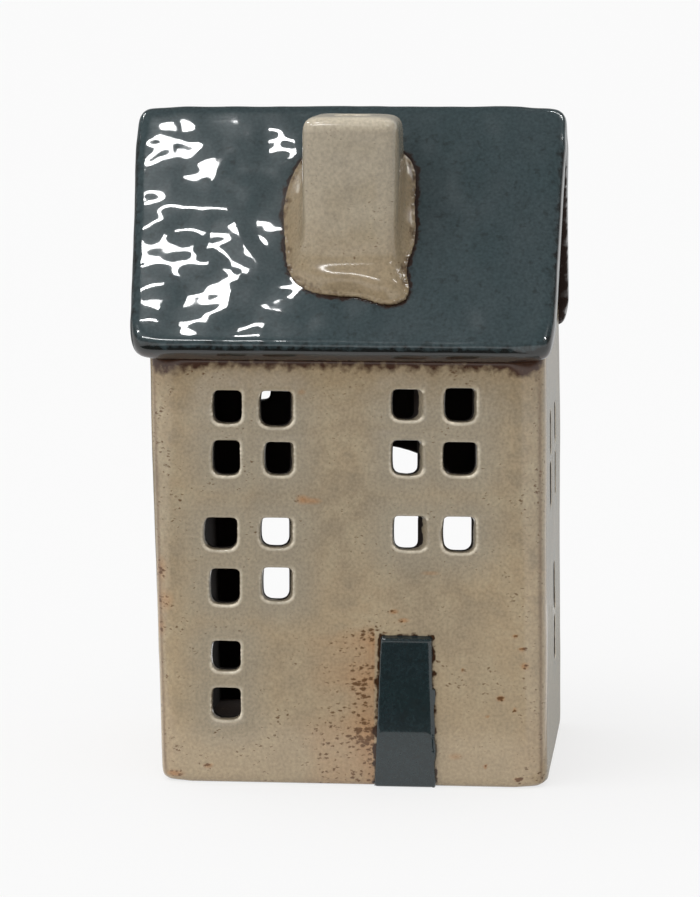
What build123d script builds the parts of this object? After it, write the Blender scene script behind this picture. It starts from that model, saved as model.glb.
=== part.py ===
from build123d import *
import math
import os

# Hand-built stoneware tealight house, in millimetres.
# X runs to the right as the front is seen, Y runs from the front to the back, Z is up.
# The origin is on the table, under the middle of the roof.

# The whole house
house_height = 170.0  # table to the rounded top of the ridge
cut_overrun = 4.0  # how far every cutting tool runs past the clay

# Body: four mitred clay slabs around a floor slab
body_width = 100.5  # outside, at the eaves
foot_draw_in = 1.2  # the body is this much narrower at the table than at the eaves
body_depth = 88.0
wall_thickness = 6.0
corner_round = 4.5
foot_round = 1.6
body_offset = 2.35  # the body's middle stands this far right of the roof's
body_lean = 1.8  # the foot stands this far right of the wall tops
floor_thickness = 6.0

# Roof: two clay slabs mitred along the ridge
roof_pitch = 50.0  # degrees
roof_thickness = 6.5
eave_overhang = 5.5  # past the body, to the sharp corner of the eave
ridge_overhang = 5.75  # past each side of the body, along the ridge
left_taper = 4.75  # how far the left ends of the slabs draw in from ridge to eave
right_taper = 1.05
ridge_end_round = 80.0  # in plan, where the ends of the two slabs meet
slab_round = 2.4
slab_corner_round = 4.0
square_enough_share = 0.9  # cosine that tells a slab's through edges from its other edges

# Windows: square holes pressed through the soft clay
pane_width = 8.1
pane_height = 8.5
side_pane_height = 10.8
pane_bow_share = 0.05  # how far the left side and the foot of a pane bulge
pane_top_round_share = 0.10
pane_foot_round_share = 0.28

# Panes are listed in pairs, the upper one first. Each line holds
# the middle as a share of the wall's width, the pair's height as a share of the wall's,
# how far above that the pane is, in pane heights, its width and height as shares of a pane,
# and how far its right jamb slopes in, as a share of a pane.
front_pane_shares = (
    (-0.298, 0.769, 1.52, 0.93, 0.99, 0.08),
    (-0.301, 0.769, 0.00, 0.89, 1.05, 0.08),
    (-0.174, 0.769, 1.48, 1.07, 1.06, 0.18),
    (-0.167, 0.769, 0.00, 0.94, 1.00, 0.22),
    (0.157, 0.774, 1.59, 1.01, 0.92, 0.40),
    (0.156, 0.774, 0.00, 0.99, 1.05, 0.26),
    (0.289, 0.774, 1.59, 1.02, 1.01, 0.20),
    (0.289, 0.774, 0.00, 1.10, 1.00, 0.16),
    (-0.316, 0.466, 1.60, 1.07, 0.95, 0.10),
    (-0.306, 0.466, 0.00, 0.96, 1.07, 0.08),
    (-0.174, 0.473, 1.56, 1.04, 0.89, 0.22),
    (-0.172, 0.473, 0.00, 0.99, 1.00, 0.22),
    (0.164, 0.598, 0.00, 1.10, 1.01, 0.40),
    (0.287, 0.596, 0.00, 1.06, 1.06, 0.22),
    (-0.303, 0.189, 1.45, 0.94, 0.93, 0.04),
    (-0.303, 0.189, 0.00, 0.94, 0.98, 0.04),
)
# Rear panes: counted to the right as the back is seen, and up from the arch to the wall's top
rear_pane_shares = (
    (-0.318, 0.340, 0.00, 0.94, 1.00, 0.05),
    (-0.147, 0.356, 0.00, 0.93, 1.00, 0.05),
    (0.148, 0.474, 0.00, 0.94, 0.98, 0.05),
    (0.318, 0.497, 0.00, 0.97, 1.00, 0.05),
)
# Side panes: counted towards the back
side_pane_shares = (
    (-0.159, 0.678, 1.25, 1.02, 1.01, 0.05),
    (-0.157, 0.678, 0.00, 1.00, 1.07, 0.05),
    (0.136, 0.674, 1.24, 1.00, 0.95, 0.05),
    (0.139, 0.674, 0.00, 1.03, 1.03, 0.05),
    (0.057, 0.281, 1.26, 1.02, 1.14, 0.05),
    (0.055, 0.281, 0.00, 0.98, 1.04, 0.05),
)

# Rear arch, where the tealight goes in
arch_width = 66.4
arch_drop = 31.9  # from the top of the rear wall down to the crown
arch_offset = 2.2  # right of the roof's middle

# Chimney block, with its flue and the clay smeared round its foot
chimney_width = 24.6
chimney_depth = 25.0
chimney_offset = 2.6  # right of the roof's middle
chimney_setback = 12.3  # from the ridge line to its back face
chimney_drop = 0.5  # its top is this far under the ridge's
chimney_round = 3.6
chimney_top_round = 2.4
flue_width = 9.0
collar_height = 4.0  # up from the slab
collar_top_share = 0.25  # how much of its reach is left at its top
collar_side_reach = 5.1
collar_end_reach = 4.9
# Collar outline: shares of its half width and half length, going round from the upper left
collar_shares = (
    (-0.78, 0.88),
    (-0.97, 0.52),
    (-1.03, 0.16),
    (-0.94, -0.37),
    (-0.83, -0.70),
    (-0.40, -0.90),
    (0.20, -0.94),
    (0.72, -1.01),
    (0.86, -0.92),
    (0.83, -0.67),
    (0.90, -0.29),
    (0.88, 0.30),
    (0.75, 0.85),
    (0.34, 1.00),
    (-0.34, 1.00),
)

# Door: a thin slab laid on the front wall
door_foot_width = 15.5
door_top_width = 13.1
door_height = 38.5
door_thickness = 1.2
door_offset = 15.2  # right of the body's middle
door_slant = 0.4  # its top stands this far right of its foot
door_edge_round = 0.5

# Tealight
cup_width = 38.0
cup_height = 16.0
cup_wall = 0.4
cup_lip = 0.7
cup_lip_height = 0.6
wax_depth = 12.5
wax_gap = 0.1
wick_width = 1.8
wick_stand = 5.5  # above the wax
wick_gap = 0.05
tab_width = 12.0
tab_thickness = 0.4
tab_sleeve_height = 3.0
tab_sleeve_wall = 0.5

# Worked out from the sizes above
pitch = math.radians(roof_pitch)
ridge_width = body_width + 2 * ridge_overhang
apex_height = house_height + slab_round * (1 / math.cos(pitch) - 1)
slab_rise = roof_thickness / math.cos(pitch)
eave_run = body_depth / 2 + eave_overhang
under_apex = apex_height - slab_rise
front_wall_height = under_apex - body_depth / 2 * math.tan(pitch)
arch_height = front_wall_height - arch_drop
arch_spring = arch_height - arch_width / 2
chimney_middle = -(chimney_setback + chimney_depth / 2)


def body_width_at(height):
    """Outside width of the body at a height, carried on in a straight line above the eaves."""
    return body_width - foot_draw_in * (1 - height / front_wall_height)


def body_middle_at(height):
    """Where the body's middle is along X at a height."""
    return body_offset + body_lean * (1 - height / front_wall_height)


def body_rectangle(height, inset, rounding):
    """The body's level section at a height, drawn in by an inset."""
    width = body_width_at(height) - 2 * inset
    depth = body_depth - 2 * inset
    outline = RectangleRounded(width, depth, rounding) if rounding else Rectangle(width, depth)
    return Plane.XY.offset(height) * Pos(body_middle_at(height), 0) * outline


def body_solid(inset, rounding):
    """A solid block with the body's lean, from the table to above the ridge."""
    ends = [body_rectangle(height, inset, rounding) for height in (0, apex_height)]
    return loft(ends, ruled=True)


def under_roof():
    """Everything below the undersides of the two roof slabs."""
    reach = body_depth / 2 + cut_overrun
    low = under_apex - reach * math.tan(pitch)
    outline = Polyline((-reach, 0), (-reach, low), (0, under_apex), (reach, low), (reach, 0), close=True)
    across = Plane(origin=(-ridge_width, 0, 0), x_dir=(0, 1, 0), z_dir=(1, 0, 0))
    return extrude(across * make_face(outline), 2 * ridge_width)


def wall_blank(side_x, side_y):
    """One wall before its holes: a slab whose upright ends are mitred at 45 degrees.

    side_x, side_y is the way it faces, such as (0, -1) for the front.
    """
    sections = []
    for height in (0, apex_height):
        middle = body_middle_at(height)
        corners = []
        for inset, turn in ((0, -1), (0, 1), (wall_thickness, 1), (wall_thickness, -1)):
            half_width = body_width_at(height) / 2 - inset
            half_depth = body_depth / 2 - inset
            along_x = side_x if side_x else turn
            along_y = side_y if side_y else turn
            corners.append((middle + along_x * half_width, along_y * half_depth))
        sections.append(Plane.XY.offset(height) * make_face(Polyline(*corners, close=True)))
    slab = loft(sections, ruled=True)
    rounded = body_solid(0, corner_round)
    foot_edges = rounded.faces().sort_by(Axis.Z)[0].edges()
    return slab & fillet(foot_edges, foot_round) & under_roof()


def pane_outline(width, height):
    """A pressed window: nearly square at its head, round at its foot, bulging left and down."""
    bow = width * pane_bow_share
    left, right = bow - width / 2, width / 2
    foot, head = bow - height / 2, height / 2
    edges = (
        ThreePointArc((left, head), (left - bow, 0), (left, foot)),
        ThreePointArc((left, foot), (0, foot - bow), (right, foot)),
        Polyline((right, foot), (right, head), (left, head)),
    )
    outline = make_face(edges)
    outline = fillet(outline.vertices().sort_by(Axis.Y)[:2], width * pane_foot_round_share)
    return fillet(outline.vertices().sort_by(Axis.Y)[-2:], width * pane_top_round_share)


def pane_cutter(wall_face, middle, height, width, tall, slope_in):
    """The hole that one pane leaves. Its right jamb slopes in towards the inside of the house."""
    sections = []
    for depth in (-cut_overrun, wall_thickness + cut_overrun):
        drawn_in = slope_in * depth / wall_thickness
        place = Pos(middle - drawn_in / 2, height)
        sections.append(wall_face.offset(-depth) * place * pane_outline(width - drawn_in, tall))
    return loft(sections, ruled=True)


def pierced(wall, wall_face, shares, span, foot, tall):
    """The wall with a hole for each row of the table, counted up from the height called foot."""
    for across, up, steps, wide, high, slope in shares:
        wall -= pane_cutter(
            wall_face,
            across * span,
            foot + up * (front_wall_height - foot) + steps * tall,
            wide * pane_width,
            high * tall,
            slope * pane_width,
        )
    return wall


def front_wall():
    face = Plane(origin=(body_offset, -body_depth / 2, 0), x_dir=(1, 0, 0), z_dir=(0, -1, 0))
    return pierced(wall_blank(0, -1), face, front_pane_shares, body_width, 0, pane_height)


def rear_wall():
    face = Plane(origin=(arch_offset, body_depth / 2, 0), x_dir=(-1, 0, 0), z_dir=(0, 1, 0))
    wall = pierced(wall_blank(0, 1), face, rear_pane_shares, body_width, arch_height, pane_height)
    legs = Pos(0, (floor_thickness + arch_spring) / 2) * Rectangle(arch_width, arch_spring - floor_thickness)
    crown = Pos(0, arch_spring) * Circle(arch_width / 2)
    head = crown - Pos(0, arch_spring - arch_width / 2) * Rectangle(arch_width, arch_width)
    opening = face.offset(-wall_thickness - cut_overrun) * (legs + head)
    return wall - extrude(opening, wall_thickness + 2 * cut_overrun)


def gable_wall(side):
    """A side wall, up to the ridge. side is -1 for the left one and 1 for the right one."""
    foot, head = (
        body_middle_at(height) + side * body_width_at(height) / 2 for height in (0, front_wall_height)
    )
    outward = (side * front_wall_height, 0, side * (foot - head))
    face = Plane(origin=(foot, 0, 0), x_dir=(0, side, 0), z_dir=outward)
    shares = [(side * across, *rest) for across, *rest in side_pane_shares]
    return pierced(wall_blank(side, 0), face, shares, body_depth, 0, side_pane_height)


def floor_slab():
    """The slab between the four walls, on which the tealight stands."""
    room = body_solid(wall_thickness, 0)
    return room & Pos(body_offset, 0, floor_thickness / 2) * Box(ridge_width, body_depth, floor_thickness)


def slope_plane(side):
    """The outer face of a roof slab: origin at the sharp ridge, local Y up the slope."""
    facing = (0, side * math.sin(pitch), math.cos(pitch))
    return Plane(origin=(0, 0, apex_height), x_dir=(-side, 0, 0), z_dir=facing)


def roof_profile():
    """The end view of the two slabs, as one bent plate with square-cut eaves."""
    eave_height = apex_height - eave_run * math.tan(pitch)
    tip_run = eave_run - roof_thickness * math.sin(pitch)
    tip_height = eave_height - roof_thickness * math.cos(pitch)
    outline = Polyline(
        (-eave_run, eave_height), (0, apex_height), (eave_run, eave_height),
        (tip_run, tip_height), (0, under_apex), (-tip_run, tip_height), close=True,
    )
    across = Plane(origin=(-ridge_width, 0, 0), x_dir=(0, 1, 0), z_dir=(1, 0, 0))
    return extrude(across * make_face(outline), 2 * ridge_width)


def roof_plan():
    """The slabs from above: widest at the ridge, with both ends cut in towards the eaves."""
    reach = eave_run + cut_overrun
    corners = []
    for taper, side in ((left_taper, -1), (right_taper, 1)):
        lean = taper / eave_run
        blunted = ridge_end_round * (math.hypot(1, lean) - 1)
        ridge_end = ridge_width / 2 + blunted
        corners += [(side * (ridge_end - lean * reach), side * y) for y in (reach, -reach)]
        corners.insert(-1, (side * ridge_end, 0))
    outline = make_face(Polyline(*corners, close=True))
    return fillet(outline.vertices().filter_by_position(Axis.Y, 0, 0), ridge_end_round)


def runs_through_slab(edge):
    """Whether an edge goes nearly straight from a slab's outer face to its underside."""
    facing = slope_plane(math.copysign(1, edge.center().Y)).z_dir
    return abs(edge.tangent_at(0.5).dot(facing)) > square_enough_share


def roof_slabs():
    """The front and rear slabs. The pair is rounded as one, then parted along the ridge."""
    pair = roof_profile() & extrude(roof_plan(), 2 * house_height)
    pair = fillet(pair.edges().filter_by(runs_through_slab), slab_corner_round)
    tops = pair.faces().filter_by(lambda face: face.normal_at().Z > 0)
    pair = fillet(list(dict.fromkeys(tops.edges())), slab_round)
    return [pair & behind_ridge(side) for side in (-1, 1)]


def behind_ridge(side):
    """All space on one side of the ridge line: -1 is the front side."""
    depth = 2 * eave_run
    return Pos(0, side * depth / 2, house_height / 2) * Box(2 * ridge_width, depth, 2 * house_height)


def flue():
    """The round hole poked down through the chimney and the slab under it."""
    foot = front_wall_height
    tube = Cylinder(flue_width / 2, house_height, align=(Align.CENTER, Align.CENTER, Align.MIN))
    return Pos(chimney_offset, chimney_middle, foot) * tube


def above_slope(side):
    """All space above the outer face of one roof slab."""
    plane = slope_plane(side)
    return extrude(plane * Rectangle(2 * house_height, 2 * house_height), house_height)


def chimney_prism(height):
    """The chimney's upright block from the table up, with its four corners rounded."""
    prism = Box(chimney_width, chimney_depth, height, align=(Align.CENTER, Align.CENTER, Align.MIN))
    prism = fillet(prism.edges().filter_by(Axis.Z), chimney_round)
    return Pos(chimney_offset, chimney_middle, 0) * prism


def chimney_block():
    """The upright block, without its flue, cut off along the front slope."""
    block = chimney_prism(house_height - chimney_drop)
    block = fillet(block.faces().sort_by(Axis.Z)[-1].edges(), chimney_top_round)
    return block & above_slope(-1)


def collar_outline(reach_share, lift):
    """The collar's edge at a height above the slab, with a share of its reach."""
    half_width = chimney_width / 2 + reach_share * collar_side_reach
    half_length = chimney_depth / 2 / math.cos(pitch) + reach_share * collar_end_reach
    points = [(across * half_width, up * half_length) for across, up in collar_shares]
    middle = Pos(chimney_offset, chimney_middle / math.cos(pitch))
    return slope_plane(-1).offset(lift) * middle * make_face(Spline(*points, periodic=True))


def chimney_collar():
    """Clay smeared into the corner between the chimney and the front slab."""
    skirt = loft([collar_outline(1, 0), collar_outline(collar_top_share, collar_height)], ruled=True)
    return skirt - chimney_prism(2 * house_height)


def door_panel():
    foot, head = door_foot_width / 2, door_top_width / 2
    outline = Polyline(
        (-foot, 0), (foot, 0), (head + door_slant, door_height), (door_slant - head, door_height), close=True,
    )
    face = Plane(
        origin=(body_offset + door_offset, -body_depth / 2, 0), x_dir=(1, 0, 0), z_dir=(0, -1, 0)
    )
    panel = extrude(face * make_face(outline), door_thickness)
    return fillet(panel.faces().sort_by(Axis.Y)[0].edges(), door_edge_round)


def tealight():
    """The aluminium cup, wax, wick and wick tab, as a dict of solids standing on the floor slab."""
    foot = Pos(arch_offset, 0, floor_thickness)
    rising = (Align.CENTER, Align.CENTER, Align.MIN)
    cup = Cylinder(cup_width / 2, cup_height, align=rising)
    lip = Pos(0, 0, cup_height - cup_lip_height) * Cylinder(cup_width / 2 + cup_lip, cup_lip_height, align=rising)
    bore = Pos(0, 0, cup_wall) * Cylinder(cup_width / 2 - cup_wall, cup_height, align=rising)
    cup = cup + lip - bore

    sleeve_radius = wick_width / 2 + wick_gap + tab_sleeve_wall
    tab = Cylinder(tab_width / 2, tab_thickness, align=rising)
    tab += Cylinder(sleeve_radius, tab_sleeve_height, align=rising)
    tab -= Pos(0, 0, tab_thickness) * Cylinder(wick_width / 2 + wick_gap, tab_sleeve_height, align=rising)

    wick = Pos(0, 0, tab_thickness) * Cylinder(
        wick_width / 2, wax_depth + wick_stand - tab_thickness, align=rising
    )
    wax = Cylinder(cup_width / 2 - cup_wall - wax_gap, wax_depth, align=rising)
    wax -= Cylinder(tab_width / 2 + wax_gap, tab_thickness + wax_gap, align=rising)
    wax -= Cylinder(sleeve_radius + wax_gap, tab_sleeve_height + wax_gap, align=rising)
    wax -= Cylinder(wick_width / 2 + wick_gap, wax_depth, align=rising)

    inside = foot * Pos(0, 0, cup_wall)
    return {
        "tealight_cup": foot * cup,
        "tealight_wax": inside * wax,
        "tealight_wick": inside * wick,
        "tealight_wick_tab": inside * tab,
    }


def build():
    """Every piece of the house, by name."""
    front_slab, rear_slab = roof_slabs()
    return {
        "floor_slab": floor_slab(),
        "front_wall": front_wall(),
        "rear_wall": rear_wall(),
        "left_gable_wall": gable_wall(-1),
        "right_gable_wall": gable_wall(1),
        "front_roof_slab": front_slab - flue(),
        "rear_roof_slab": rear_slab,
        "chimney": chimney_block() - flue(),
        "chimney_collar": chimney_collar(),
        "front_door": door_panel(),
        **tealight(),
    }


def main():
    os.makedirs("parts", exist_ok=True)
    for name, piece in build().items():
        export_step(piece, f"parts/{name}.step")


if __name__ == "__main__":
    main()
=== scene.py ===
# Hand-built stoneware tealight house: the looks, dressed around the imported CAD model.
# Every length is in metres, in the CAD model's own frame: +X right, +Y back, +Z up.
import math

import bmesh
import bpy
import numpy as np
from mathutils import Matrix, Vector, kdtree, noise


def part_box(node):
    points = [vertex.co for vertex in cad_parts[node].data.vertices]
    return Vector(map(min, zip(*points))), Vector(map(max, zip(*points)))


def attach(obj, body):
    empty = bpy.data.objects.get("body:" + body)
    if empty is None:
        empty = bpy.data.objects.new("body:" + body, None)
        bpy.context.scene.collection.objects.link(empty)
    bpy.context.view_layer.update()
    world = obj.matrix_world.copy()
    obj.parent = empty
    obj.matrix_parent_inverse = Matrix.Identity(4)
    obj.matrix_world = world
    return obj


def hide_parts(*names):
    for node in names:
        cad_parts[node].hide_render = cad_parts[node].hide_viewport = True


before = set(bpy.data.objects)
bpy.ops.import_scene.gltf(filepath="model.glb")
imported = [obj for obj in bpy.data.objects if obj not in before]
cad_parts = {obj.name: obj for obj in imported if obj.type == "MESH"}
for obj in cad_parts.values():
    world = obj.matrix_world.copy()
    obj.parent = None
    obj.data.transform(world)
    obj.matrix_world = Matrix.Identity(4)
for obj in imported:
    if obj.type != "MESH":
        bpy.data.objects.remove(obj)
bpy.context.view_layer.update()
scene = bpy.context.scene
scene.view_settings.view_transform = "Standard"
mm = 0.001

# Camera
# The photograph was taken through a long lens from about a metre away, a little to the right
# of the house and just above its ridge.
camera_place = Vector((97.4, -1044.0, 216.8)) * mm
camera_aim = Vector((-0.5, 0.0, 80.8)) * mm
camera_lens = 161.35  # millimetres, for a sensor 36 mm on its long side

camera = bpy.data.objects.new("camera", bpy.data.cameras.new("camera"))
camera.data.lens = camera_lens
camera.location = camera_place
camera.rotation_euler = (camera_aim - camera_place).to_track_quat("-Z", "Y").to_euler()
scene.collection.objects.link(camera)
scene.camera = camera

# Table and studio
# White paper runs from under the house to far behind it. The studio's walls are white and its
# ceiling is dim, so the glaze stays deep except where it mirrors a strip lamp.
paper_reach = 40.0
paper_white = "#fafafa"
soft_light = 0.90  # from all round, where 1 shows a white sheet as white
side_light = 0.46  # how much more of it comes from the left than from the right
paper_glow = 0.75  # how far the paper's own shadows are lit away
ceiling_light = 0.10  # what the glaze mirrors overhead
dimming_start, dimming_end = 0.06, 0.34  # sines of the angles where white wall turns to ceiling
sun_strength = 0.55
sun_spread = math.radians(60)
sun_from = Vector((-0.35, -0.50, 0.85))
strip_light = 42.0  # brightness of a strip lamp, where 1 is white

# Cards that only the glaze sees: name, material and colour, then middle and size in millimetres
cards = (
    ("front_card", "black_card", "#000000", (-70.0, -1011.0, 1.0), (260.0, 1800.0, 0.0)),
    ("rear_card", "grey_card", "#707374", (-199.0, 230.0, 161.0), (502.0, 0.0, 320.0)),
    ("side_card", "silver_card", "#b6b8b8", (92.0, 230.0, 161.0), (80.0, 0.0, 320.0)),
    ("foot_card", "pale_grey_card", "#a6a8a6", (66.0, 90.0, 1.0), (30.0, 280.0, 0.0)),
)

# Strip lamps over the roof and round it: middle, length along X, and width, all in metres
strip_lamps = (
    (Vector((-0.205, -0.205, 0.800)), 0.18, 0.021),
    (Vector((0.380, 0.230, 0.800)), 0.54, 0.017),
    (Vector((-0.420, -0.800, 0.950)), 0.56, 0.060),
    (Vector((-0.750, -0.410, 0.830)), 0.30, 0.040),
    (Vector((0.750, -0.410, 0.830)), 0.30, 0.040),
    (Vector((-0.750, 0.410, 0.830)), 0.30, 0.040),
    (Vector((0.750, 0.410, 0.830)), 0.30, 0.040),
)


def linear(hex_colour):
    """An sRGB colour such as "#958670" as the linear RGBA that shader sockets take."""
    shares = [int(hex_colour[i : i + 2], 16) / 255 for i in (1, 3, 5)]
    return [s / 12.92 if s <= 0.04045 else ((s + 0.055) / 1.055) ** 2.4 for s in shares] + [1.0]


def add_node(tree, kind, inputs=None, **settings):
    """Add a shader node with its settings, and set or link its inputs. A node stands for its result."""
    made = tree.nodes.new("ShaderNode" + kind)
    for name, value in settings.items():
        setattr(made, name, value)
    for name, value in (inputs or {}).items():
        named = [socket for socket in made.inputs if socket.name == name and socket.enabled]
        socket = made.inputs[name] if isinstance(name, int) else named[0]
        if isinstance(value, bpy.types.Node):
            value = next(result for result in value.outputs if result.enabled)
        if isinstance(value, bpy.types.NodeSocket):
            tree.links.new(value, socket)
        else:
            socket.default_value = value
    return made


def empty_tree(owner):
    """The emptied node tree of a material or a world."""
    owner.use_nodes = True
    owner.node_tree.nodes.clear()
    return owner.node_tree


def mesh_object(name, shape):
    """A scene object made from a bmesh, which is freed."""
    piece = bpy.data.objects.new(name, bpy.data.meshes.new(name))
    shape.to_mesh(piece.data)
    shape.free()
    scene.collection.objects.link(piece)
    return piece


def studio_room():
    """White to the camera, white walls and a dim ceiling to the glaze, and soft light for the rest."""
    world = bpy.data.worlds.new("studio_room")
    tree = empty_tree(world)
    direction = add_node(tree, "TexCoord").outputs["Generated"]
    height = add_node(tree, "SeparateXYZ", {"Vector": direction}).outputs["Z"]
    room = add_node(tree, "MapRange", {
        "Value": height, "From Min": dimming_start, "From Max": dimming_end,
        "To Min": 1.0, "To Max": ceiling_light,
    }, interpolation_type="SMOOTHSTEP")
    ray = add_node(tree, "LightPath").outputs
    seen = add_node(tree, "Math", {0: ray["Is Glossy Ray"], 1: ray["Is Transmission Ray"]},
                    operation="MAXIMUM")
    sideways = add_node(tree, "SeparateXYZ", {"Vector": direction}).outputs["X"]
    soft = add_node(tree, "MapRange", {
        "Value": sideways, "From Min": -1.0, "To Min": soft_light * (1 + side_light),
        "To Max": soft_light * (1 - side_light),
    })
    mirrored = add_node(tree, "Mix", {"Factor": seen, "A": soft, "B": room}, data_type="FLOAT")
    level = add_node(tree, "Mix", {"Factor": ray["Is Camera Ray"], "A": mirrored, "B": 1.0},
                     data_type="FLOAT")
    sky = add_node(tree, "Background", {"Color": linear("#ffffff"), "Strength": level})
    add_node(tree, "OutputWorld", {"Surface": sky})
    return world


def background_paper():
    """Uncoated white background paper, seamless and matt, with its shadows partly lit away."""
    material = bpy.data.materials.new("background_paper")
    tree = empty_tree(material)
    sheet = add_node(tree, "BsdfPrincipled", {
        "Base Color": linear(paper_white), "Roughness": 0.95, "Specular IOR Level": 0.1,
    })
    ray = add_node(tree, "LightPath").outputs
    seen = add_node(tree, "Math", {0: ray["Is Camera Ray"], 1: ray["Is Glossy Ray"]}, operation="MAXIMUM")
    seen = add_node(tree, "Math", {0: seen, 1: ray["Is Transmission Ray"]}, operation="MAXIMUM")
    share = add_node(tree, "Math", {0: seen, 1: paper_glow}, operation="MULTIPLY")
    glow = add_node(tree, "Emission", {"Color": linear(paper_white)})
    lit = add_node(tree, "MixShader", {0: share, 1: sheet, 2: glow})
    add_node(tree, "OutputMaterial", {"Surface": lit})
    return material


def plain_card(name, colour):
    """A card that stays the same tone in any light, for the glaze to mirror."""
    material = bpy.data.materials.new(name)
    tree = empty_tree(material)
    tone = add_node(tree, "Emission", {"Color": linear(colour)})
    add_node(tree, "OutputMaterial", {"Surface": tone})
    return material


scene.world = studio_room()

shape = bmesh.new()
bmesh.ops.create_grid(shape, x_segments=1, y_segments=1, size=paper_reach)
table = mesh_object("paper_sweep", shape)
table.data.materials.append(background_paper())

for name, card_stock, colour, middle, size in cards:
    upright = size[1] == 0
    shape = bmesh.new()
    bmesh.ops.create_grid(shape, x_segments=1, y_segments=1, size=0.5)
    bmesh.ops.rotate(shape, matrix=Matrix.Rotation(upright * math.pi / 2, 3, "X"), verts=shape.verts)
    bmesh.ops.scale(shape, vec=Vector(size) * mm, verts=shape.verts)
    bmesh.ops.translate(shape, vec=Vector(middle) * mm, verts=shape.verts)
    card = mesh_object(name, shape)
    card.data.materials.append(plain_card(card_stock, colour))
    card.visible_camera = False
    card.visible_diffuse = False
    card.visible_shadow = False
    card.visible_transmission = False

sun = bpy.data.objects.new("broad_lamp", bpy.data.lights.new("broad_lamp", "SUN"))
sun.data.energy = sun_strength
sun.data.angle = sun_spread
sun.rotation_euler = sun_from.to_track_quat("Z", "Y").to_euler()
sun.visible_glossy = False
scene.collection.objects.link(sun)

for number, (middle, length, width) in enumerate(strip_lamps, 1):
    strip = bpy.data.objects.new(f"strip_lamp_{number}", bpy.data.lights.new("strip_lamp", "AREA"))
    strip.data.shape = "RECTANGLE"
    strip.data.size = length
    strip.data.size_y = width
    strip.data.energy = strip_light * math.pi * length * width
    strip.location = middle
    strip.visible_diffuse = False
    scene.collection.objects.link(strip)

# Walls
# Four slabs of dark stoneware, rolled 6 mm thick, mitred and joined with slip. The windows were
# pressed through while the clay was soft, so each has a rounded rim with a low raised lip.
# The outside is dipped in an oatmeal glaze that thins to brown at the joints; inside is bare clay, painted
# darker than the floor slab's as shade.
wall_facings = {
    "front_wall": Vector((0, -1, 0)),
    "rear_wall": Vector((0, 1, 0)),
    "left_gable_wall": Vector((-1, 0, 0)),
    "right_gable_wall": Vector((1, 0, 0)),
}
roof_pitch = math.radians(50)
noise_low, noise_high = 0.3, 0.7  # a noise texture mostly keeps between these
touching = 0.001 * mm  # corners closer than this are one corner
same_way = 0.96  # two normals look the same way where their dot product is above this
hole_turn = 0.3  # below this, one face has turned off into a hole
wall_grain = 0.55 * mm  # the size of one facet of a soft wall
wall_sponging = 5  # passes of the wet sponge that rounds every edge
corner_sponging = 90  # more passes down the four corners
corner_reach = 9.0 * mm
foot_wear = 0.10  # how much of that the foot gets
mark_step = 0.4 * mm
lip_height = 0.25 * mm
lip_distance = 0.45 * mm  # from the rim to the top of the lip
lip_width = 0.40 * mm
lip_all_round, lip_below, lip_on_right = 0.15, 0.80, 0.30  # shares of its height, and of its pale colour, which is partly a painted highlight
lip_evenness, lip_waviness, lip_wave = 0.85, 0.7, 4.0 * mm
lower_lip_full = 0.8  # cosine of the angle from straight below where it has its full height
right_lip_start, right_lip_full = 0.2, 0.9  # and those from straight right
skin = 2.5 * mm  # how deep the outside's unevenness goes
hand_swell, hand_swell_width = 0.35 * mm, 34 * mm
finger_swell, finger_swell_width = 0.06 * mm, 10 * mm
rim_flat = 6.0 * mm  # the swell dies out this near a window
gable_window_shading = 12  # how many times sooner the dark bare clay starts inside a gable's window, as painted shade on its far jamb
hidden_top = 2.0 * mm  # of the walls, under the roof
spatter_width, spatter_top = 13.0 * mm, 36 * mm  # the brown specks left of the door
spatter_fade, spatter_patch = 8.0 * mm, 9.0 * mm
spatter_evenness, spatter_patchiness = 0.85, 0.6
spatter_under_door, spatter_end = 0.3, 2.0 * mm  # it dies out this far in behind the door
edge_fade_start, edge_fade_end = 3.0 * mm, 14.0 * mm  # specks in from the front's upright edges
foot_fade_start, foot_fade_end = 4.0 * mm, 40.0 * mm  # and up from its foot
edge_specks, foot_specks = 0.17, 0.12
corner_break_start, corner_break_end = 1.2 * mm, 2.4 * mm  # the glaze breaks brown on a corner
eave_gap = 0.2 * mm  # the roof's joint hides this much of the wall
eave_sag = 1.8 * mm  # how much lower the brown runs at both corners

# Brown smudges and iron specks on the front: x, z, half length, half height, strength
smudges = (
    (-8.6, 73.4, 1.6, 1.2, 0.9), (-5.6, 73.0, 2.2, 0.9, 0.8), (-8.6, 100.7, 1.2, 0.8, 0.7),
    (-45.0, 55.0, 2.0, 3.5, 0.8), (-44.0, 47.0, 3.0, 3.0, 0.7), (-45.5, 40.0, 2.0, 3.0, 0.8),
    (14.8, 45.0, 1.2, 0.6, 1.1), (17.2, 42.8, 1.4, 0.6, 1.1), (-41.5, 2.2, 2.4, 0.9, 1.2),
    (45.5, 39.2, 0.7, 0.4, 1.5), (47.3, 35.9, 0.9, 0.4, 1.6), (48.0, 31.6, 1.0, 0.9, 1.2),
    (41.9, 23.2, 0.9, 0.6, 1.9), (45.5, 20.3, 0.5, 0.4, 1.6), (38.6, 18.6, 0.5, 0.3, 1.6),
    (32.3, 30.3, 0.4, 0.3, 2.0), (38.1, 5.6, 0.4, 0.5, 2.0), (46.5, 2.4, 1.0, 0.5, 1.6),
    (-32.7, 4.5, 1.2, 0.5, 1.4), (24.0, 55.0, 3.0, 0.5, 0.7), (30.5, 8.0, 2.0, 1.0, 0.7),
)


def merged(*nodes):
    """A bmesh of the named CAD solids, with their loose triangles merged."""
    shape = bmesh.new()
    for node in nodes:
        shape.from_mesh(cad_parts[node].data)
    bmesh.ops.remove_doubles(shape, verts=shape.verts, dist=touching)
    shape.normal_update()
    return shape


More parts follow.
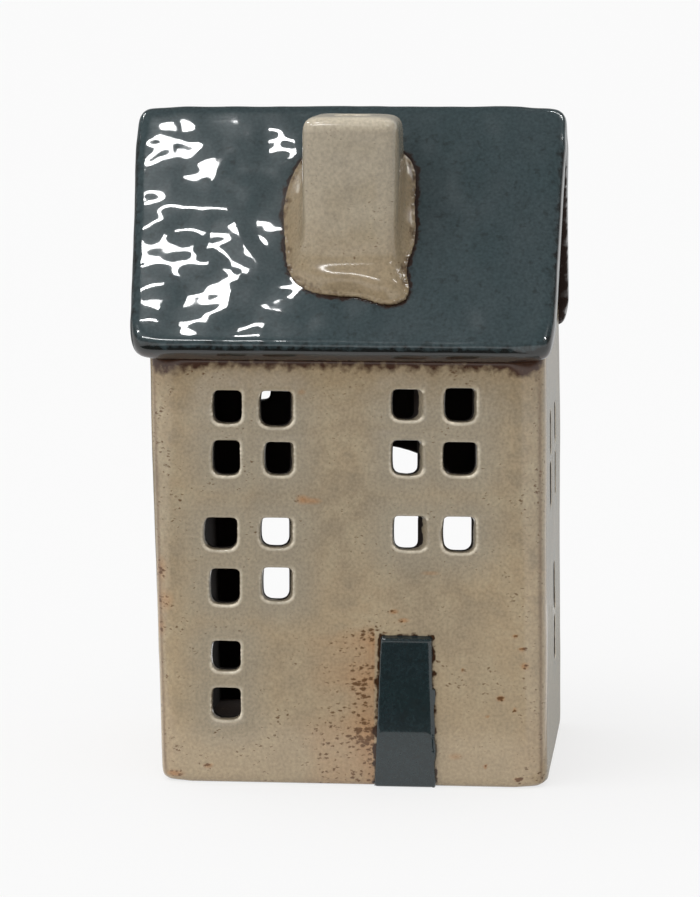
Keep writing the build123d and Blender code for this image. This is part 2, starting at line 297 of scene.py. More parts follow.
def apply_modifiers(piece):
    """Make a piece's modified mesh its own."""
    graph = bpy.context.evaluated_depsgraph_get()
    mesh = bpy.data.meshes.new_from_object(piece.evaluated_get(graph))
    piece.modifiers.clear()
    piece.data = mesh


def sponge(lump, passes, shares=None):
    """Wipe a lump's edges round, all over or by each vertex's share."""
    wipe = lump.modifiers.new("sponge", "SMOOTH")
    wipe.factor = 0.5
    wipe.iterations = passes
    if shares is not None:
        wiped = lump.vertex_groups.new(name="wiped")
        for number in np.flatnonzero(shares):
            wiped.add([int(number)], shares[number], "REPLACE")
        wipe.vertex_group = wiped.name
    apply_modifiers(lump)
    lump.vertex_groups.clear()


def soft_clay(name, nodes, grain, sponging):
    """The named CAD solids joined into one lump of clay, with every edge sponged round."""
    lump = mesh_object(name, merged(*nodes))
    knead = lump.modifiers.new("knead", "REMESH")
    knead.mode = "VOXEL"
    knead.voxel_size = grain
    knead.use_smooth_shade = True
    sponge(lump, sponging)
    return lump


def read_points(mesh, what):
    """The mesh's vertex places ("co") or normals ("normal") as an array of three columns."""
    values = np.empty(len(mesh.vertices) * 3, np.float32)
    mesh.vertices.foreach_get(what, values)
    return values.reshape(-1, 3).astype(float)


def press(mesh, pushes):
    """Push each vertex out along its normal, but never below the table."""
    pushed = read_points(mesh, "co") + read_points(mesh, "normal") * pushes[:, None]
    pushed[:, 2] = np.maximum(pushed[:, 2], 0)
    mesh.vertices.foreach_set("co", pushed.astype(np.float32).ravel())
    mesh.update()


def paint(mesh, **layers):
    """Keep named numbers on the mesh's vertices for its material to read."""
    for name, values in layers.items():
        layer = mesh.attributes.new(name, "FLOAT", "POINT")
        layer.data.foreach_set("value", np.broadcast_to(values, len(mesh.vertices)).astype(np.float32))


def swell(points, width, seed):
    """A smooth random height from -1 to 1 at each point, with hills about a width apart."""
    shift = Vector((seed, 2 * seed, 3 * seed))
    return np.array([noise.noise(Vector(point) / width + shift) for point in points])


def ease(values, start, end):
    """0 before start, 1 after end, and a smooth rise between them."""
    share = np.clip((values - start) / (end - start), 0, 1)
    return share * share * (3 - 2 * share)


def flat_face(node, direction):
    """The middle and normal of a CAD node's largest face that looks in a direction."""
    shape = merged(node)
    looking = [face for face in shape.faces if face.normal.dot(direction) > same_way]
    largest = max(looking, key=lambda face: face.calc_area())
    found = largest.calc_center_median(), largest.normal.copy()
    shape.free()
    return found


def depths_behind(points, planes):
    """How deep each point lies behind the outer planes, nearest plane first."""
    depths = [-(points - np.array(middle)) @ np.array(normal) for middle, normal in planes]
    return np.sort(depths, axis=0)


def edge_marks(node, wanted):
    """Closely set marks along a CAD node's wanted edges."""
    shape = merged(node)
    marks = []
    for edge in filter(wanted, shape.edges):
        start, end = (vert.co for vert in edge.verts)
        steps = math.ceil((end - start).length / mark_step)
        marks += [start.lerp(end, step / steps) for step in range(steps + 1)]
    shape.free()
    return marks


def to_nearest(points, marks):
    """The way from each point to the nearest mark, and how long it is."""
    tree = kdtree.KDTree(len(marks))
    for number, mark in enumerate(marks):
        tree.insert(mark, number)
    tree.balance()
    ways = np.array([tree.find(point)[0] for point in points]) - points
    return ways, np.linalg.norm(ways, axis=1)


gable_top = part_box("right_gable_wall")[1].z
front_low, front_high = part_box("front_wall")


def wall_top(y):
    """The height of the roof's underside at a distance from the ridge line."""
    return gable_top - abs(y) * math.tan(roof_pitch)


def rim_marks(node, facing):
    """Marks along every edge where a wall's outer face turns into a hole."""
    reach = front_high.x if facing.y else -front_low.y

    def is_rim(edge):
        """Whether the edge lies between the outer face and a hole, and not on the wall's outline."""
        turns = [face.normal.dot(facing) for face in edge.link_faces]
        corner = edge.verts[0].co
        along = abs(corner.x * facing.y) + abs(corner.y * facing.x)
        return (
            max(turns) > same_way and min(turns) < hole_turn and along < reach - touching
            and 2 * touching < corner.z < wall_top(corner.y) - hidden_top
        )

    return edge_marks(node, is_rim)


def cut_from(lump, name, planes):
    """A new piece: the lump's part behind all the planes, closed, with the lump's own shading."""
    shape = bmesh.new()
    shape.from_mesh(lump.data)
    shade = shape.verts.layers.float_vector.new("lump_normal")
    for vert in shape.verts:
        vert[shade] = vert.normal
    for middle, normal in planes:
        cut = bmesh.ops.bisect_plane(
            shape, geom=shape.verts[:] + shape.edges[:] + shape.faces[:], dist=touching,
            plane_co=middle, plane_no=normal, clear_outer=True,
        )
        rim = [part for part in cut["geom_cut"] if isinstance(part, bmesh.types.BMEdge)]
        bmesh.ops.edgeloop_fill(shape, edges=rim)
    normals = [vert[shade].normalized() for vert in shape.verts]
    shape.verts.layers.float_vector.remove(shade)
    piece = mesh_object(name, shape)
    piece.data.normals_split_custom_set_from_vertices(normals)
    return piece


def glaze_over(tree, colour, layers):
    """Lay colours over each other. A layer has what it follows, where it starts to show, where it
    shows in full, how much it then covers, and its colour."""
    for followed, start, full, cover, hue in layers:
        share = add_node(tree, "MapRange", {
            "Value": followed, "From Min": start, "From Max": full, "To Max": cover,
        })
        colour = add_node(tree, "Mix", {"Factor": share, "A": colour, "B": linear(hue)}, data_type="RGBA")
    return colour


def oatmeal_glaze(name, cool, warm):
    """Glossy oatmeal glaze, dipped over dark stoneware: cloudy, with iron specks, pale on a rim, partly as
    a painted highlight.
    """
    cloud_width, streak_width, ragged_width = 26 * mm, 6.0 * mm, 2.6 * mm
    mottle_width = 0.8 * mm  # the real one is finer, and wouldn't show
    fleck_size = Vector((1.7, 1.7, 1.0)) * mm  # specks lie flat, as the glaze was wiped sideways
    raggedness = 1.4 * mm  # how far the brown edges stray up and down
    glaze_end = 2.4 * mm  # how deep the glaze reaches into a window
    bare_from = 3.0 * mm
    material = bpy.data.materials.new(name)
    tree = empty_tree(material)
    place = add_node(tree, "TexCoord").outputs["Object"]
    height = add_node(tree, "SeparateXYZ", {"Vector": place}).outputs["Z"]
    rim, heaped, depth, top, door, spatter, corner = (
        add_node(tree, "Attribute", attribute_name=layer).outputs["Fac"]
        for layer in ("rim", "heaped", "depth", "top", "door", "spatter", "corner")
    )
    clouds, streaks, mottle, ragged = (
        add_node(tree, "TexNoise", {"Vector": place, "Scale": 1 / width, "Detail": detail})
        for width, detail in (
            (cloud_width, 2.0), (streak_width, 3.0), (mottle_width, 4.0), (ragged_width, 3.0),
        )
    )
    uneven = add_node(tree, "MapRange", {
        "Value": ragged, "From Min": noise_low, "From Max": noise_high,
        "To Min": -raggedness, "To Max": raggedness,
    })
    frayed = add_node(tree, "Math", {0: uneven, 1: 0.5}, operation="MULTIPLY")
    under_eave = add_node(tree, "Math", {0: top, 1: uneven}, operation="ADD")
    by_door = add_node(tree, "Math", {0: door, 1: frayed}, operation="ADD")
    inside = add_node(tree, "Math", {0: depth, 1: frayed}, operation="ADD")

    # Iron specks: torn dots, one in a cell, which grow where the spatter is thick
    cells = add_node(tree, "VectorMath", {0: place, 1: [1 / width for width in fleck_size]},
                     operation="MULTIPLY")
    tearing = add_node(tree, "TexNoise", {"Vector": cells, "Scale": 1.8, "Detail": 4.0}).outputs["Color"]
    torn = add_node(tree, "VectorMath", {0: tearing, 1: (1.2, 1.2, 1.2), 2: cells},
                    operation="MULTIPLY_ADD")
    from_dot = add_node(tree, "TexVoronoi", {"Vector": torn, "Scale": 1.0}).outputs["Distance"]
    growth = add_node(tree, "MapRange", {"Value": spatter, "To Min": -0.45, "To Max": 0.06}, clamp=False)
    growth = add_node(tree, "Math", {0: growth, 1: streaks}, operation="ADD")
    fleck = add_node(tree, "Math", {0: growth, 1: from_dot}, operation="SUBTRACT")

    cloudy = add_node(tree, "MapRange", {"Value": clouds, "From Min": 0.36, "From Max": 0.64})
    colour = add_node(tree, "Mix", {"Factor": cloudy, "A": linear(cool), "B": linear(warm)},
                      data_type="RGBA")
    colour = glaze_over(tree, colour, (
        (streaks, 0.45, 0.68, 0.65, "#a5987f"),  # thicker runs, paler
        (streaks, 0.47, 0.30, 0.55, "#867b68"),  # thinner runs, greyer
        (height, 62 * mm, 4 * mm, 0.55, "#b3a083"),  # paler towards the foot
        (rim, 9 * mm, 2 * mm, 0.70, "#958c7b"),  # it drew back from the windows
        (spatter, 0.2, 1.0, 0.70, "#a5754a"),  # rust left of the door
        (corner, 0.0, 1.0, 0.70, "#664e3a"),  # it broke brown on the corners
        (under_eave, 13 * mm, 1.5 * mm, 0.55, "#86704f"),  # darker and browner towards the roof's joint
        (fleck, -0.06, 0.16, 0.85, "#583a22"),
        (under_eave, 3.0 * mm, 1.0 * mm, 1.0, "#3f281b"),  # brown that ran from the roof's joint, and on the walls also painted shade of the eave
        (by_door, 0.7 * mm, 0.3 * mm, 1.0, "#3d2819"),  # the joint round the door
        (rim, 1.0 * mm, 0.2 * mm, heaped, "#e2d7c2"),  # glaze heaped on a window's lip, and paler there also as a painted highlight
        (inside, glaze_end, bare_from, 1.0, "#20140e"),  # bare clay, painted darker than the floor slab's as shade
    ))
    grainy = add_node(tree, "MapRange", {
        "Value": mottle, "From Min": noise_low, "From Max": noise_high, "To Min": 0.84, "To Max": 1.13,
    })
    colour = add_node(tree, "Mix", {"Factor": 1.0, "A": colour, "B": grainy}, data_type="RGBA",
                      blend_type="MULTIPLY")
    rough = add_node(tree, "MapRange", {"Value": inside, "From Min": glaze_end, "From Max": bare_from,
                                        "To Min": 0.15, "To Max": 0.85})
    pits = add_node(tree, "Bump", {"Height": mottle, "Distance": 0.02 * mm, "Strength": 0.3})
    glaze = add_node(tree, "BsdfPrincipled", {
        "Base Color": colour, "Roughness": rough, "IOR": 1.52, "Normal": pits,
    })
    add_node(tree, "OutputMaterial", {"Surface": glaze})
    return material


# One lump of clay is sponged all over, then more along its corners and a little at its foot
shell = soft_clay("wall_shell", list(wall_facings), wall_grain, wall_sponging)
outer_planes = [flat_face(node, facing) for node, facing in wall_facings.items()]
points = read_points(shell.data, "co")
depth, beside = depths_behind(points, outer_planes)[:2]
worn = np.maximum(
    1 - ease(beside, corner_reach / 2, corner_reach),
    foot_wear * (1 - ease(points[:, 2], corner_reach / 6, corner_reach / 2)),
)
sponge(shell, corner_sponging, worn * (1 - ease(depth, skin, 2 * skin)))

# The glaze heaps up below a window and on its right, and its pale lip there is partly a painted highlight
points = read_points(shell.data, "co")
depth, beside = depths_behind(points, outer_planes)[:2]
rims = [mark for node, facing in wall_facings.items() for mark in rim_marks(node, facing)]
to_rim, rim = to_nearest(points, rims)
under, beyond = (to_rim[:, [2, 0]] / np.maximum(rim, touching)[:, None]).T
heaped = lip_all_round + lip_below * ease(under, 0, lower_lip_full)
heaped += lip_on_right * ease(-beyond, right_lip_start, right_lip_full)
heaped *= lip_evenness + lip_waviness * swell(points, lip_wave, 8)

# Brown spatter on the front: beside the door, in the smudges, and along the edges and the foot
front_plane = front_low.y
door_marks = edge_marks(
    "front_door", lambda edge: all(abs(vert.co.y - front_plane) < touching for vert in edge.verts)
)
from_side = np.minimum(points[:, 0] - front_low.x, front_high.x - points[:, 0])
in_gable_window = (from_side < 2 * skin) & (rim < skin) & (points[:, 2] > skin)
door_low, door_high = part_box("front_door")
left_of_door = door_low.x - points[:, 0]
beyond_spatter = np.maximum(points[:, 2] - spatter_top, -left_of_door - spatter_end)
spatter = np.exp(-np.abs(left_of_door) / spatter_width)
spatter[left_of_door <= 0] = spatter_under_door
spatter *= 1 - ease(beyond_spatter, 0, spatter_fade)
spatter *= spatter_evenness + spatter_patchiness * swell(points, spatter_patch, 7)
for x, z, half_length, half_height, strength in smudges:
    along = (points[:, 0] / mm - x) / half_length
    up = (points[:, 2] / mm - z) / half_height
    spatter += strength * np.exp(-(along**2) - up**2)
spatter *= points[:, 1] < front_plane + skin
near_edge = 1 - ease(from_side, edge_fade_start, edge_fade_end)
near_foot = 1 - ease(points[:, 2], foot_fade_start, foot_fade_end)
spatter = np.maximum(spatter, edge_specks * near_edge + foot_specks * near_foot)

outside = (1 - ease(depth, 0, skin)) * ease(points[:, 2], 0, skin)
lift = lip_height * heaped * np.exp(-(((rim - lip_distance) / lip_width) ** 2))
lift += hand_swell * swell(points, hand_swell_width, 1) * ease(rim, 0, rim_flat)
lift += finger_swell * swell(points, finger_swell_width, 2)
press(shell.data, lift * outside)
# A gable window's depth is stretched, so its far jamb shows dark bare clay as painted shade
paint(
    shell.data, rim=rim, depth=depth * np.where(in_gable_window, gable_window_shading, 1), heaped=heaped,
    top=wall_top(points[:, 1]) + eave_gap - points[:, 2] - eave_sag * near_edge,
    door=to_nearest(points, door_marks)[1], spatter=spatter,
    corner=1 - ease(beside, corner_break_start, corner_break_end),
)

# The walls are cut apart again at their mitres
wall_glaze = oatmeal_glaze("oatmeal_glaze", "#93856f", "#a08e73")
for node, facing in wall_facings.items():
    across = Vector((facing.y, facing.x, 0))
    mitres = [flat_face(node, (side * across - facing).normalized()) for side in (-1, 1)]
    wall = cut_from(shell, "glazed_" + node, mitres)
    wall.data.materials.append(wall_glaze)
    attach(wall, "house")
    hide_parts(node)
bpy.data.objects.remove(shell)

# Floor slab
# A slab of the same dark stoneware, cut to fit between the walls and joined to them with slip.
# It is never glazed, and the tealight stands on it.
grog_width = 0.9 * mm  # the real grains are half as coarse, and wouldn't show
stain_width = 14 * mm


def bare_stoneware():
    """Unglazed dark stoneware: matt, brown-black, with sandy grog that shows as pale grains."""
    material = bpy.data.materials.new("bare_stoneware")
    tree = empty_tree(material)
    place = add_node(tree, "TexCoord").outputs["Object"]
    grog = add_node(tree, "TexNoise", {"Vector": place, "Scale": 1 / grog_width, "Detail": 4.0})
    tone = add_node(tree, "TexNoise", {"Vector": place, "Scale": 1 / stain_width, "Detail": 2.0})
    colour = add_node(tree, "Mix", {"Factor": tone, "A": linear("#47332a"), "B": linear("#5a4435")},
                      data_type="RGBA")
    grains = add_node(tree, "MapRange", {"Value": grog, "From Min": 0.62, "From Max": 0.72, "To Max": 0.5})
    colour = add_node(tree, "Mix", {"Factor": grains, "A": colour, "B": linear("#86705c")},
                      data_type="RGBA")
    bumps = add_node(tree, "Bump", {"Height": grog, "Distance": 0.12 * mm, "Strength": 0.6})
    clay = add_node(tree, "BsdfPrincipled", {
        "Base Color": colour, "Roughness": 0.85, "IOR": 1.5, "Normal": bumps,
    })
    add_node(tree, "OutputMaterial", {"Surface": clay})
    return material


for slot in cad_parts["floor_slab"].material_slots:
    slot.material = bare_stoneware()

# Roof slabs
# Two rolled slabs leant together along the ridge. The slate glaze was poured on, so it runs
# over the rounded edges, stops half way down them, and leaves the underside bare clay, painted darker than
# the floor slab's as shade.
roof_facings = {"front_roof_slab": Vector((0, -1, 0)), "rear_roof_slab": Vector((0, 1, 0))}
roof_grain = 0.6 * mm
roof_sponging = 22
roof_corner_sponging = 110  # more passes round the six outer corners
roof_corner_reach = 13 * mm
ridge_lift, ridge_width = 0.7 * mm, 16.0 * mm  # the glaze heaps up along the ridge
roof_swell, roof_swell_width = 0.35 * mm, 38 * mm
glaze_swell, glaze_swell_width = 0.21 * mm, 8.5 * mm
ripple, ripple_width = 0.035 * mm, 4.0 * mm
roof_skin = 5.0 * mm  # how deep the top's unevenness goes
ridge_glaze = 1.8 * mm  # it covers the rounded ridge too


def slate_glaze(name, green, blue):
    """Glossy slate glaze: a deep pool of colour, finely mottled, brown where it runs thin."""
    pool_width, ragged_width = 18 * mm, 2.2 * mm
    mottle_width = 0.8 * mm  # the real one is finer, and wouldn't show
    raggedness = 0.7 * mm
    glaze_end, bare_from = 5.4 * mm, 6.2 * mm  # down a slab's edge
    material = bpy.data.materials.new(name)
    tree = empty_tree(material)
    place = add_node(tree, "TexCoord").outputs["Object"]
    depth, seam = (
        add_node(tree, "Attribute", attribute_name=layer).outputs["Fac"] for layer in ("depth", "seam")
    )
    pools, mottle, ragged = (
        add_node(tree, "TexNoise", {"Vector": place, "Scale": 1 / width, "Detail": detail})
        for width, detail in ((pool_width, 2.0), (mottle_width, 4.0), (ragged_width, 3.0))
    )
    uneven = add_node(tree, "MapRange", {
        "Value": ragged, "From Min": noise_low, "From Max": noise_high,
        "To Min": -raggedness, "To Max": raggedness,
    })
    by_seam = add_node(tree, "Math", {0: seam, 1: uneven}, operation="ADD")
    below = add_node(tree, "Math", {0: depth, 1: uneven}, operation="ADD")
    pooled = add_node(tree, "MapRange", {"Value": pools, "From Min": 0.35, "From Max": 0.65})
    colour = add_node(tree, "Mix", {"Factor": pooled, "A": linear(green), "B": linear(blue)},
                      data_type="RGBA")
    grainy = add_node(tree, "MapRange", {
        "Value": mottle, "From Min": noise_low, "From Max": noise_high, "To Min": 0.76, "To Max": 1.18,
    })
    colour = add_node(tree, "Mix", {"Factor": 1.0, "A": colour, "B": grainy}, data_type="RGBA",
                      blend_type="MULTIPLY")
    colour = glaze_over(tree, colour, (
        (by_seam, 1.4 * mm, 0.7 * mm, 1.0, "#2b1910"),  # burnt brown round the chimney's foot
        (below, 0.3 * mm, 1.3 * mm, 1.0, "#1a1c1b"),  # darker over the rounded edges
        (below, 3.0 * mm, 3.6 * mm, 1.0, "#22120a"),  # brown where it stops
        (below, glaze_end, bare_from, 1.0, "#21130c"),  # bare clay, painted darker than the floor slab's as shade
    ))
    rough, clear = (
        add_node(tree, "MapRange", {"Value": below, "From Min": glaze_end, "From Max": bare_from,
                                    "To Min": glazed, "To Max": bare})
        for glazed, bare in ((0.24, 0.85), (1.0, 0.0))
    )
    glaze = add_node(tree, "BsdfPrincipled", {
        "Base Color": colour, "Roughness": rough, "IOR": 1.52, "Specular IOR Level": 0.20,
        "Coat Weight": clear, "Coat Roughness": 0.03, "Coat IOR": 1.52,  # the glassy top of the glaze
    })
    add_node(tree, "OutputMaterial", {"Surface": glaze})
    return material


slopes = [
    flat_face(node, facing * math.sin(roof_pitch) + Vector((0, 0, math.cos(roof_pitch))))
    for node, facing in roof_facings.items()
]
front_slope_place, front_slope_normal = slopes[0]
collar_marks = edge_marks("chimney_collar", lambda edge: all(
    abs((vert.co - front_slope_place).dot(front_slope_normal)) < touching for vert in edge.verts
))
roof = soft_clay("roof_pair", list(roof_facings), roof_grain, roof_sponging)
roof_low, roof_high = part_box("front_roof_slab")
roof_corners = [
    Vector((x, y, z)) for x in (roof_low.x, roof_high.x)
    for y, z in ((0, roof_high.z), (roof_low.y, roof_low.z), (-roof_low.y, roof_low.z))
]
from_corner = to_nearest(read_points(roof.data, "co"), roof_corners)[1]
sponge(roof, roof_corner_sponging, 1 - ease(from_corner, roof_corner_reach / 2, roof_corner_reach))
points = read_points(roof.data, "co")
depth = depths_behind(points, slopes)[0]
lift = roof_swell * swell(points, roof_swell_width, 3) + glaze_swell * swell(points, glaze_swell_width, 4)
lift += ripple * swell(points, ripple_width, 9)
lift += ridge_lift * (1 - ease(np.abs(points[:, 1]), 0, ridge_width))
press(roof.data, lift * (1 - ease(depth, 0, roof_skin)))
depth -= ridge_glaze * (1 - ease(np.abs(points[:, 1]), 0, ridge_width / 2))
paint(roof.data, depth=depth, seam=to_nearest(points, collar_marks)[1])
roof_glaze = slate_glaze("slate_glaze", "#364447", "#3a4649")
for node, facing in roof_facings.items():
    slab = cut_from(roof, "glazed_" + node, [(Vector(), -facing)])
    slab.data.materials.append(roof_glaze)
    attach(slab, "house")
    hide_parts(node)
bpy.data.objects.remove(roof)

# Chimney
# An upright block of clay set on the front slope, with soft clay smeared round its foot and a
# flue poked down through it. It is glazed like the walls, a little paler, and its top is painted paler and
# greyer as a highlight.
chimney_grain = 0.35 * mm
chimney_sponging = 20
chimney_corner_sponging = 320
chimney_swell, chimney_swell_width = 0.14 * mm, 8 * mm
chimney_foot_start, chimney_foot_end = 1.0 * mm, 5.0 * mm  # above the roof, where its corners begin
flue_guard_start, flue_guard_end = 5.0 * mm, 8.0 * mm  # from the flue, which keeps its shape
bedding = 0.6 * mm  # how far a laid piece is pressed into the clay under it
painted_light_top = 2.0 * mm  # painted highlight: the chimney's top edge is painted pale, as a window's lip is, where light falls on it
painted_light_spread = 6  # but over so many times the lip's width
painted_light_share = 0.95
chimney_specks = 0.04
seam_start = 2.0 * mm  # where the glaze begins above the burnt seam
far_away = 1.0

chimney = soft_clay("glazed_chimney", ["chimney", "chimney_collar"], chimney_grain, chimney_sponging)
points = read_points(chimney.data, "co")
above_slab = (points - np.array(front_slope_place)) @ np.array(front_slope_normal)
chimney_low, chimney_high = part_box("chimney")
flue = np.array((chimney_low + chimney_high) / 2)
from_flue = np.hypot(*(points - flue)[:, :2].T)
upright = ease(above_slab, chimney_foot_start, chimney_foot_end)
sponge(chimney, chimney_corner_sponging, upright * ease(from_flue, flue_guard_start, flue_guard_end))
points = read_points(chimney.data, "co")
above_slab = (points - np.array(front_slope_place)) @ np.array(front_slope_normal)
press(
    chimney.data,
    chimney_swell * swell(points, chimney_swell_width, 5) + bedding * (above_slab < bedding),
)
below_top = chimney_high.z - points[:, 2]
# The window layers paint the chimney's top greyer and then pale: a painted highlight where light falls on
# it
paint(
    chimney.data, rim=(below_top + painted_light_top) / painted_light_spread, heaped=painted_light_share, depth=0,
    door=far_away, spatter=chimney_specks, corner=0, top=above_slab + seam_start,
)
chimney.data.materials.append(oatmeal_glaze("pale_oatmeal_glaze", "#9c8f78", "#a5957b"))
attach(chimney, "house")
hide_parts("chimney", "chimney_collar")

# Door
# A thin strip of clay, cut a little narrower at the top and laid on the front wall with slip. It
# has a thick coat of the roof's glaze, which looks nearly black and crept out along its right edge.
door_grain = 0.25 * mm
door_sponging = 40
door_drip, door_drip_length = 0.8 * mm, 4.5 * mm
drip_evenness = 0.6
door_edge = 0.6 * mm

door = soft_clay("glazed_door", ["front_door"], door_grain, door_sponging)
points = read_points(door.data, "co")
on_right_edge = points[:, 0] > door_high.x - door_edge
on_wall = points[:, 1] > front_plane - door_grain
drips = door_drip * (drip_evenness + swell(points, door_drip_length, 6)) * on_right_edge
press(door.data, np.maximum(bedding * on_wall, drips))
paint(door.data, depth=0, seam=far_away)
door.data.materials.append(slate_glaze("thick_slate_glaze", "#1c292b", "#1e2a2d"))
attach(door, "house")
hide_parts("front_door")

# Tealight cup
# A standard cup for a small candle, deep drawn from thin aluminium sheet, with its rim rolled
# outwards. It stands loose on the floor slab and is drawn out through the arch by hand.
cup_low, cup_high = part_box("tealight_cup")
cup_middle = (cup_low + cup_high) / 2
cup_radius = 19.0 * mm
cup_wall = 0.25 * mm
cup_corner = 1.2 * mm
roll_radius = 0.35 * mm
turn_steps, corner_steps, roll_steps = 96, 6, 14
draw_mark_width = 0.7 * mm  # the real marks are finer, and wouldn't show
draw_mark_height = 12.5  # how many times as high as they are wide


def spun(name, profile):
    """A closed round piece, from a profile of (radius, height) pairs about the cup's middle."""
    shape = bmesh.new()
    corners = [shape.verts.new((cup_middle.x + radius, cup_middle.y, height)) for radius, height in profile]
    edges = [shape.edges.new(pair) for pair in zip(corners, corners[1:])]
    bmesh.ops.spin(
        shape, geom=corners + edges, cent=cup_middle, axis=(0, 0, 1), angle=math.tau,
        steps=turn_steps, use_merge=True,
    )
    bmesh.ops.remove_doubles(shape, verts=shape.verts, dist=touching)
    bmesh.ops.recalc_face_normals(shape, faces=shape.faces)
    for face in shape.faces:
        face.smooth = True
    return mesh_object(name, shape)


def arc(middle, radius, start, end, steps):
    """Points of a profile on an arc, in degrees counted up from straight outwards."""
    turns = [math.radians(start + (end - start) * step / steps) for step in range(steps + 1)]
    return [(middle[0] + radius * math.cos(turn), middle[1] + radius * math.sin(turn)) for turn in turns]


def drawn_aluminium():
    """Thin aluminium sheet, deep drawn: bright, with fine upright draw marks round the wall."""
    material = bpy.data.materials.new("drawn_aluminium")
    tree = empty_tree(material)
    place = add_node(tree, "TexCoord").outputs["Object"]
    stretched = add_node(tree, "Mapping", {"Vector": place, "Scale": (1.0, 1.0, 1 / draw_mark_height)})
    marks = add_node(tree, "TexNoise", {"Vector": stretched, "Scale": 1 / draw_mark_width, "Detail": 3.0})
    rough = add_node(tree, "MapRange", {"Value": marks, "To Min": 0.22, "To Max": 0.40})
    lines = add_node(tree, "Bump", {"Height": marks, "Distance": 0.06 * mm, "Strength": 0.8})
    metal = add_node(tree, "BsdfPrincipled", {
        "Base Color": linear("#c6c9cc"), "Metallic": 1.0, "Roughness": rough, "Normal": lines,
    })
    add_node(tree, "OutputMaterial", {"Surface": metal})
    return material


cup_foot, cup_top = cup_low.z, cup_high.z
inside_radius = cup_radius - cup_wall
outer_foot = arc((cup_radius - cup_corner, cup_foot + cup_corner), cup_corner, -90, 0, corner_steps)
rolled_rim = arc((cup_radius + roll_radius, cup_top - roll_radius), roll_radius, 200, -160, roll_steps)
inner_foot = arc(
    (inside_radius - cup_corner, cup_foot + cup_corner), cup_corner - cup_wall, 0, -90, corner_steps
)
cup = spun(
    "drawn_cup",
    [(0.0, cup_foot)] + outer_foot + rolled_rim + inner_foot + [(0.0, cup_foot + cup_wall)],
)
cup.data.materials.append(drawn_aluminium())
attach(cup, "tealight")
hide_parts("tealight_cup")

# Wax
# White paraffin, poured hot into the cup round the wick. As it sets it sinks a little and climbs
# the cup's wall and the wick.
wax_foot, wax_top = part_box("tealight_wax")[0].z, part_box("tealight_wax")[1].z
wax_radius = 18.5 * mm
wick_radius = 0.8 * mm
climb = 0.35 * mm
climb_steps = 4
frosting_width = 3.0 * mm


def paraffin_wax():
    """Set paraffin: milky white, a little light passes through it, satin on top."""
    material = bpy.data.materials.new("paraffin_wax")
    tree = empty_tree(material)
    place = add_node(tree, "TexCoord").outputs["Object"]
    frosting = add_node(tree, "TexNoise", {"Vector": place, "Scale": 1 / frosting_width, "Detail": 4.0})
    colour = add_node(tree, "Mix", {"Factor": frosting, "A": linear("#efece2"), "B": linear("#f7f5ee")},
                      data_type="RGBA")
    rough = add_node(tree, "MapRange", {"Value": frosting, "To Min": 0.30, "To Max": 0.48})
    bumps = add_node(tree, "Bump", {"Height": frosting, "Distance": 0.05 * mm, "Strength": 0.5})
    wax = add_node(tree, "BsdfPrincipled", {
        "Base Color": colour, "Roughness": rough, "IOR": 1.43, "Subsurface Weight": 0.5,
        "Subsurface Scale": 2.0 * mm, "Normal": bumps,
    })
    add_node(tree, "OutputMaterial", {"Surface": wax})
    return material


wax = spun(
    "poured_wax",
    [(0.0, wax_foot), (wax_radius - cup_corner, wax_foot), (wax_radius, wax_foot + cup_corner)]
    + arc((wax_radius - climb, wax_top), climb, 0, 90, climb_steps)
    + [(wax_radius - 3 * climb, wax_top), (wax_radius / 2, wax_top - climb)]
    + [(4 * wick_radius, wax_top), (2 * wick_radius, wax_top + climb), (0.0, wax_top + 2 * climb)],
)
wax.data.materials.append(paraffin_wax())
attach(wax, "tealight")
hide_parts("tealight_wax")

# Wick
# Cotton braided round and dipped in wax, held upright by the tab in the wax. Its strands swell
# and pinch along it, and its free top leans over a little.
wick_foot, wick_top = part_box("tealight_wick")[0].z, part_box("tealight_wick")[1].z
wick_rings = 36
wick_sides = 12
braid_pinch = 0.84
braid_turn = math.radians(24)
wick_lean = 0.9 * mm
wick_end = 0.7  # its cut end is pinched to this share of its width
fibre_width = 0.3 * mm  # the real fibres are finer, and wouldn't show


def waxed_cotton():
    """Bleached cotton braid, stiff with wax: off-white, with a soft sheen."""
    material = bpy.data.materials.new("waxed_cotton")
    tree = empty_tree(material)
    place = add_node(tree, "TexCoord").outputs["Object"]
    fibres = add_node(tree, "TexNoise", {"Vector": place, "Scale": 1 / fibre_width, "Detail": 3.0})
    colour = add_node(tree, "Mix", {"Factor": fibres, "A": linear("#cfc6ae"), "B": linear("#ece6d6")},
                      data_type="RGBA")
    bumps = add_node(tree, "Bump", {"Height": fibres, "Distance": 0.05 * mm, "Strength": 0.8})
    cotton = add_node(tree, "BsdfPrincipled", {
        "Base Color": colour, "Roughness": 0.6, "IOR": 1.45, "Normal": bumps,
    })
    add_node(tree, "OutputMaterial", {"Surface": cotton})
    return material


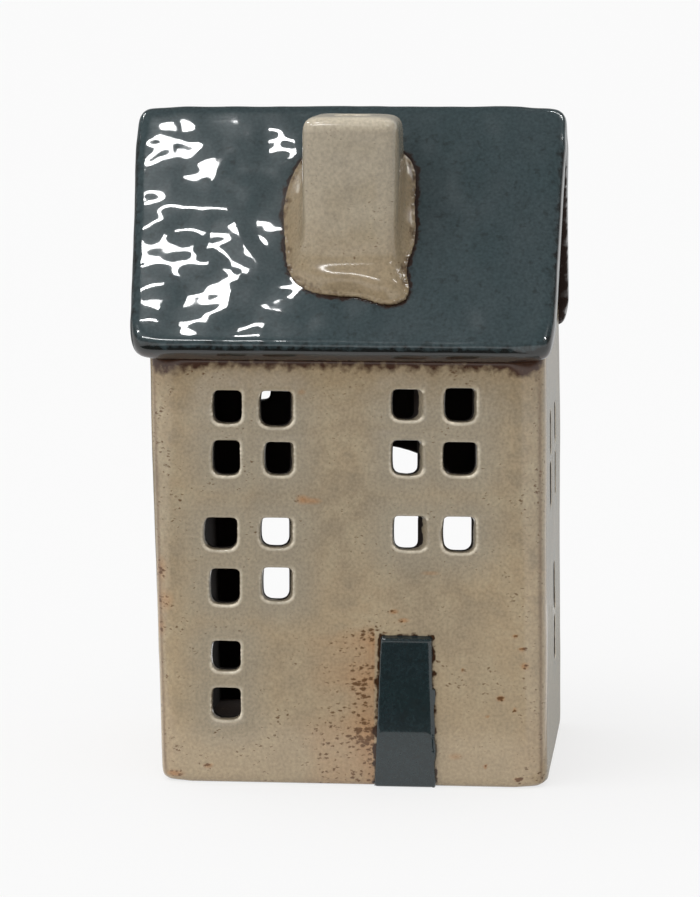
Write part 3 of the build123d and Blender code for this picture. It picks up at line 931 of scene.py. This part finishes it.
shape = bmesh.new()
foot = Vector((cup_middle.x, cup_middle.y, wick_foot))
bmesh.ops.create_circle(shape, cap_ends=True, segments=wick_sides, radius=wick_radius)
bmesh.ops.translate(shape, vec=foot, verts=shape.verts)
faces, here = shape.faces[:], foot
for ring in range(1, wick_rings + 1):
    made = bmesh.ops.extrude_face_region(shape, geom=faces)["geom"]
    corners = [part for part in made if isinstance(part, bmesh.types.BMVert)]
    if ring > 1:  # the first ring's face stays, to close the foot
        bmesh.ops.delete(shape, geom=faces, context="FACES_ONLY")
    faces = [part for part in made if isinstance(part, bmesh.types.BMFace)]
    share = ring / wick_rings
    there = foot + Vector((wick_lean * share**4, 0, (wick_top - wick_foot) * share))
    width = braid_pinch if ring % 2 else 1 / braid_pinch
    if ring == wick_rings:
        width *= wick_end
    bmesh.ops.translate(shape, vec=there - here, verts=corners)
    bmesh.ops.scale(shape, vec=(width, width, 1), verts=corners, space=Matrix.Translation(-there))
    bmesh.ops.rotate(shape, cent=there, matrix=Matrix.Rotation(braid_turn, 3, "Z"), verts=corners)
    here = there
bmesh.ops.recalc_face_normals(shape, faces=shape.faces)
for face in shape.faces:
    face.smooth = True
wick = mesh_object("braided_wick", shape)
wick.data.materials.append(waxed_cotton())
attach(wick, "tealight")
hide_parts("tealight_wick")

# Wick tab
# A small disc stamped from tinned steel, with a sleeve crimped round the wick's foot. It lies on
# the cup's bottom, and the wax hides it.
scratch_width = 0.5 * mm  # the real scratches are finer, and wouldn't show


def tinned_steel():
    """Tin-plated steel sheet, stamped: grey-white, with fine random scratches."""
    material = bpy.data.materials.new("tinned_steel")
    tree = empty_tree(material)
    place = add_node(tree, "TexCoord").outputs["Object"]
    scratches = add_node(tree, "TexNoise", {"Vector": place, "Scale": 1 / scratch_width, "Detail": 4.0})
    rough = add_node(tree, "MapRange", {"Value": scratches, "To Min": 0.25, "To Max": 0.45})
    metal = add_node(tree, "BsdfPrincipled", {
        "Base Color": linear("#b9bbbd"), "Metallic": 1.0, "Roughness": rough,
    })
    add_node(tree, "OutputMaterial", {"Surface": metal})
    return material


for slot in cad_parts["tealight_wick_tab"].material_slots:
    slot.material = tinned_steel()
